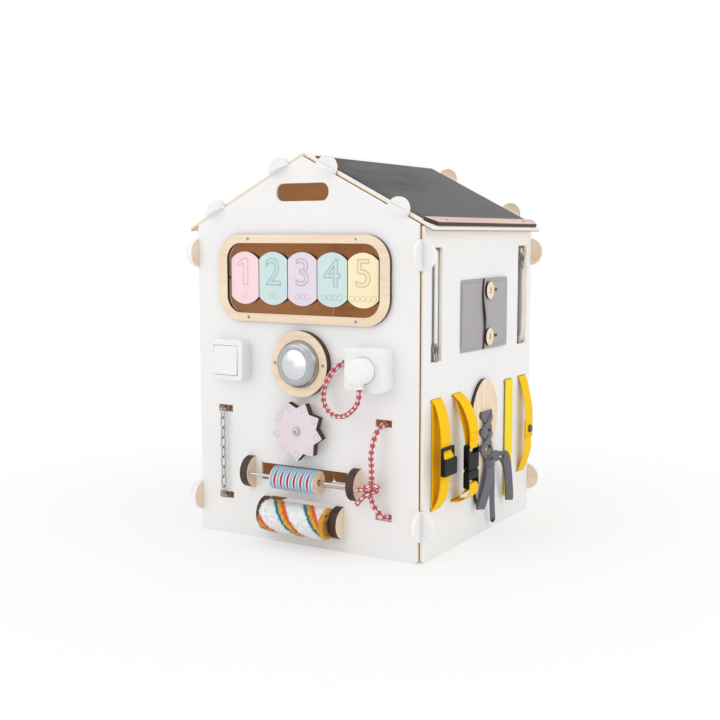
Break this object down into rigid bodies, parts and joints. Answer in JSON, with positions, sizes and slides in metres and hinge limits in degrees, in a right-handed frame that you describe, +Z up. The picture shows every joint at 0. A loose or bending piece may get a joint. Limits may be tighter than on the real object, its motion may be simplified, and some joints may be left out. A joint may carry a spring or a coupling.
{
  "type": "busy house",
  "caption": "Plywood activity house with hooked walls and roof, flip number plates, switch, push lamp, plug, gear, rollers, zips, straps, buckles and a lacing shoe.",
  "frame": {"origin": "on the floor under the middle of the whole object, leaving out the plug and the ropes", "axes": "+Z up, the front gable faces -Y, the chalkboard slope and the strap wall face +X"},
  "size_m": [0.4634, 0.488, 0.6067],
  "materials": {
    "white_paint": "satin",
    "bare_wood": "matt",
    "board_grey": "matt",
    "steel": "bright",
    "pink_paint": "satin",
    "mint_paint": "satin",
    "lilac_paint": "satin",
    "yellow_paint": "satin",
    "white_plastic": "gloss",
    "silver_plastic": "satin",
    "lens_plastic": "satin",
    "board_green": "matt",
    "rope": "braided",
    "sleeve": "woven",
    "brass_bush": "turned",
    "fleece": "pile",
    "zip_tape": "woven",
    "zip_metal": "satin",
    "flap_cloth": "felt",
    "webbing": "woven",
    "black_plastic": "satin",
    "snap_metal": "satin",
    "lace": "woven",
    "hook_tape": "woven"
  },
  "bodies": {
    "house": {"front_wall": "white_paint", "back_wall": "white_paint", "left_wall": "white_paint", "right_wall": "white_paint", "roof_left": "white_paint", "roof_right": "white_paint", "chalkboard": "board_grey", "chalk_ledge": "bare_wood", "wood_screws": "steel", "window_frame": "white_paint", "number_rod": "steel", "switch_base": "white_plastic", "switch_cover": "white_plastic", "lamp_ring": "bare_wood", "lamp_housing": "silver_plastic", "lamp_board": "board_green", "socket_base": "white_plastic", "socket_cover": "white_plastic", "plug_cord": "rope", "gear_bolt": "steel", "chain_links": "steel", "rope_upper": "rope", "rope_knot": "rope", "rope_lower": "rope", "roller_brackets": "bare_wood", "slide_rod": "steel", "fleece_axle": "steel", "zip_tapes": "zip_tape", "flap_left": "flap_cloth", "flap_buttons": "bare_wood", "ladder_strap": "webbing", "ladder_buckle": "black_plastic", "clip_strap_upper": "webbing", "clip_strap_lower": "webbing", "clip_buckle_socket": "black_plastic", "hook_strap": "hook_tape", "snap_strap": "webbing", "snap_button": "snap_metal", "shoe_sole": "bare_wood", "shoe_eyelets": "steel", "shoe_lace": "lace"},
    "rocker": {"switch_rocker": "white_plastic"},
    "lens": {"lamp_lens": "lens_plastic"},
    "plug": {"plug_body": "white_plastic"},
    "gear": {"star_gear": "lilac_paint"},
    "roller_carriage": {"roller_bush": "brass_bush"},
    "roller": {"slide_roller": "sleeve"},
    "fleece_roller": {"fleece_core": "bare_wood", "fleece_cover": "fleece"},
    "zip_front": {"zip_slider_front": "zip_metal"},
    "zip_front_pull": {"zip_pull_front": "zip_metal"},
    "zip_back": {"zip_slider_back": "zip_metal"},
    "zip_back_pull": {"zip_pull_back": "zip_metal"},
    "flap": {"flap_right": "flap_cloth"},
    "clip_plug": {"clip_buckle_plug": "black_plastic"},
    "plate_1": {"number_plate_1": "pink_paint"},
    "plate_2": {"number_plate_2": "mint_paint"},
    "plate_3": {"number_plate_3": "lilac_paint"},
    "plate_4": {"number_plate_4": "mint_paint"},
    "plate_5": {"number_plate_5": "yellow_paint"}
  },
  "joints": [
    {"name": "plate_1_turn", "type": "hinge", "parent": "house", "child": "plate_1", "pos_m": [-0.1137, -0.1912, 0.4165], "axis": [1, 0, 0], "continuous": true},
    {"name": "plate_2_turn", "type": "hinge", "parent": "house", "child": "plate_2", "pos_m": [-0.0597, -0.1912, 0.4165], "axis": [1, 0, 0], "continuous": true},
    {"name": "plate_3_turn", "type": "hinge", "parent": "house", "child": "plate_3", "pos_m": [-0.0057, -0.1912, 0.4165], "axis": [1, 0, 0], "continuous": true},
    {"name": "plate_4_turn", "type": "hinge", "parent": "house", "child": "plate_4", "pos_m": [0.0483, -0.1912, 0.4165], "axis": [1, 0, 0], "continuous": true},
    {"name": "plate_5_turn", "type": "hinge", "parent": "house", "child": "plate_5", "pos_m": [0.1023, -0.1912, 0.4165], "axis": [1, 0, 0], "continuous": true},
    {"name": "rocker_tip", "type": "hinge", "parent": "house", "child": "rocker", "pos_m": [-0.1367, -0.2162, 0.287], "axis": [1, 0, 0], "range_deg": [0, 8]},
    {"name": "lens_press", "type": "slide", "parent": "house", "child": "lens", "axis": [0, 1, 0], "range_m": [0, 0.003], "stiffness_N_per_m": 300, "springref_m": -0.002},
    {"name": "plug_pull", "type": "slide", "parent": "house", "child": "plug", "axis": [0, -1, 0], "range_m": [0, 0.026], "deforming": ["plug_cord"]},
    {"name": "gear_turn", "type": "hinge", "parent": "house", "child": "gear", "pos_m": [-0.0057, -0.2075, 0.184], "axis": [0, -1, 0], "continuous": true},
    {"name": "roller_slide", "type": "slide", "parent": "house", "child": "roller_carriage", "axis": [1, 0, 0], "range_m": [-0.05, 0.05]},
    {"name": "roller_spin", "type": "hinge", "parent": "roller_carriage", "child": "roller", "pos_m": [-0.0057, -0.2128, 0.1085], "axis": [1, 0, 0], "continuous": true},
    {"name": "fleece_spin", "type": "hinge", "parent": "house", "child": "fleece_roller", "pos_m": [-0.0057, -0.2128, 0.046], "axis": [1, 0, 0], "continuous": true},
    {"name": "zip_front_slide", "type": "slide", "parent": "house", "child": "zip_front", "axis": [0, 0, 1], "range_m": [0, 0.129]},
    {"name": "zip_front_flip", "type": "hinge", "parent": "zip_front", "child": "zip_front_pull", "pos_m": [0.2015, -0.1492, 0.31679], "axis": [0, -1, 0], "range_deg": [0, 170]},
    {"name": "zip_back_slide", "type": "slide", "parent": "house", "child": "zip_back", "axis": [0, 0, 1], "range_m": [-0.129, 0]},
    {"name": "zip_back_flip", "type": "hinge", "parent": "zip_back", "child": "zip_back_pull", "pos_m": [0.2015, 0.1728, 0.44579], "axis": [0, -1, 0], "range_deg": [0, 170]},
    {"name": "flap_open", "type": "hinge", "parent": "house", "child": "flap", "pos_m": [0.2039, 0.0978, 0.3585], "axis": [0, 0, 1], "range_deg": [0, 140], "deforming": ["flap_right"]},
    {"name": "clip_release", "type": "slide", "parent": "house", "child": "clip_plug", "axis": [0, 0, -1], "range_m": [0, 0.026], "deforming": ["clip_strap_lower"]}
  ]
}
